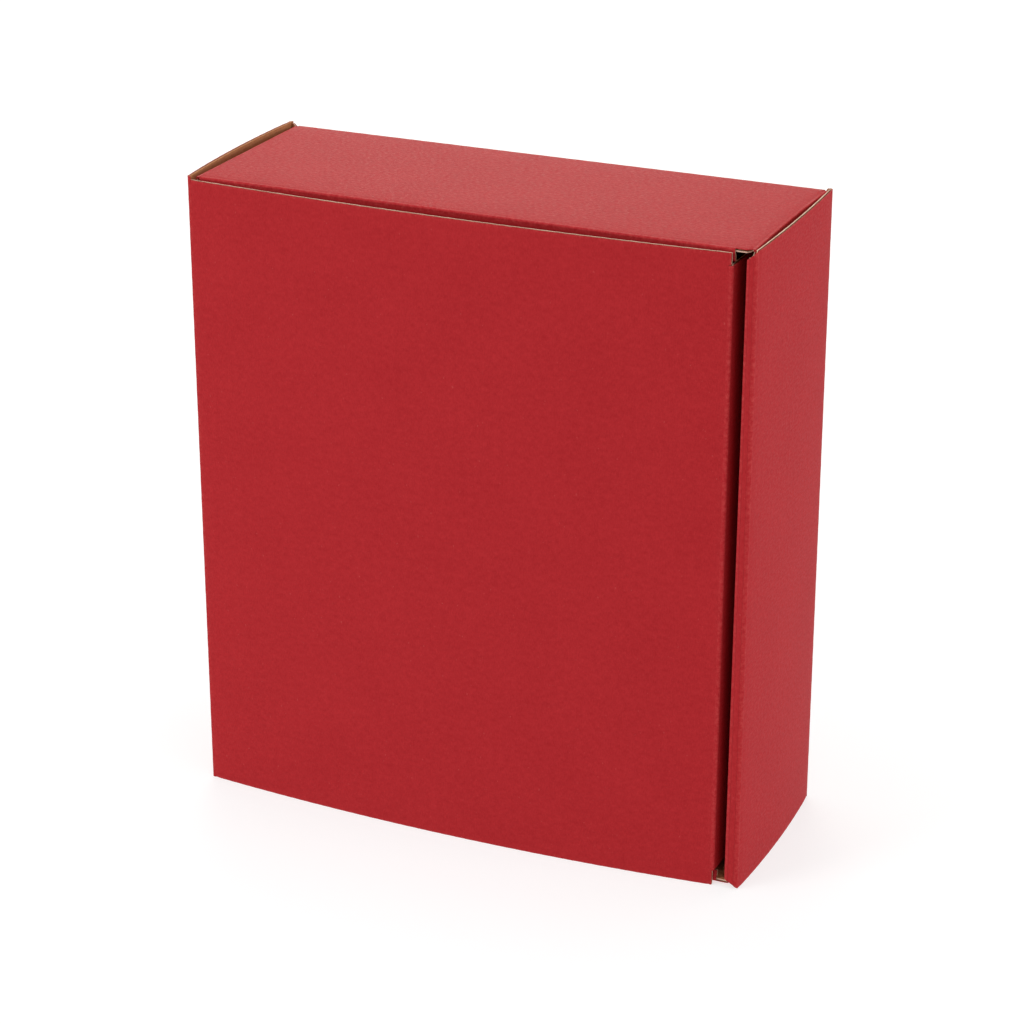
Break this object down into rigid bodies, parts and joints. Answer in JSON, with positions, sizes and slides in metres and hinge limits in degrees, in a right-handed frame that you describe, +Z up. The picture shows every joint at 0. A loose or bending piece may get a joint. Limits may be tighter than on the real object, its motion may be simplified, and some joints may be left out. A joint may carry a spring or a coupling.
{
  "type": "mailer box",
  "caption": "Flat corrugated cardboard mailer box with a hinged tuck lid, rolled front wall, folding dust flaps and corner flaps, standing on its side edges.",
  "frame": {"origin": "middle of the box's footprint, on the surface that its bottom cut edges stand on", "axes": "+Z up along the lid's hinge, +X from the rear wall to the rolled front wall, +Y from the lid to the base"},
  "size_m": [0.228, 0.0874, 0.25],
  "materials": {
    "red_liner": "matte red printed paper liner over thin corrugated board",
    "kraft_liner": "uncoated brown kraft liner",
    "cut_edge": "die-cut edge that shows the fluted medium"
  },
  "bodies": {
    "tray": {"base_panel": "red_liner", "rear_wall": "red_liner", "front_wall_outer": "red_liner", "front_wall_strip": "red_liner", "front_wall_inner": "red_liner", "side_wall_top": "red_liner", "side_wall_bottom": "red_liner", "corner_flap_rear_top": "kraft_liner", "corner_flap_rear_bottom": "kraft_liner", "corner_flap_front_top": "kraft_liner", "corner_flap_front_bottom": "kraft_liner", "crease_base_rear": "red_liner", "crease_base_front": "red_liner", "crease_base_top": "red_liner", "crease_base_bottom": "red_liner", "crease_roll_outer": "red_liner", "crease_roll_inner": "red_liner", "crease_corner_rear_top": "red_liner", "crease_corner_rear_bottom": "red_liner", "crease_corner_front_top": "red_liner", "crease_corner_front_bottom": "red_liner", "crease_lid_hinge": "red_liner", "crease_dust_top": "red_liner", "crease_dust_bottom": "red_liner"},
    "lid": {"lid_panel": "red_liner", "crease_tuck_hinge": "red_liner"},
    "tuck": {"tuck_flap": "red_liner"},
    "upper_dust": {"dust_flap_top": "red_liner"},
    "lower_dust": {"dust_flap_bottom": "red_liner"}
  },
  "joints": [
    {"name": "lid_open", "type": "hinge", "parent": "tray", "child": "lid", "pos_m": [-0.1107, -0.03795, 0.125], "axis": [0, 0, -1], "range_deg": [0, 175]},
    {"name": "tuck_fold", "type": "hinge", "parent": "lid", "child": "tuck", "pos_m": [0.1024, -0.03795, 0.125], "axis": [0, 0, -1], "range_deg": [0, 43.75]},
    {"name": "upper_dust_fold", "type": "hinge", "parent": "tray", "child": "upper_dust", "pos_m": [0.0005, -0.036, 0.2488], "axis": [-1, 0, 0], "range_deg": [0, 87.5]},
    {"name": "lower_dust_fold", "type": "hinge", "parent": "tray", "child": "lower_dust", "pos_m": [0.0005, -0.036, 0.0012], "axis": [1, 0, 0], "range_deg": [0, 87.5]}
  ],
  "couplings": [
    {"joint": "tuck_fold", "follows": "lid_open", "ratio": 0.25},
    {"joint": "upper_dust_fold", "follows": "lid_open", "ratio": 0.5},
    {"joint": "lower_dust_fold", "follows": "lid_open", "ratio": 0.5}
  ]
}
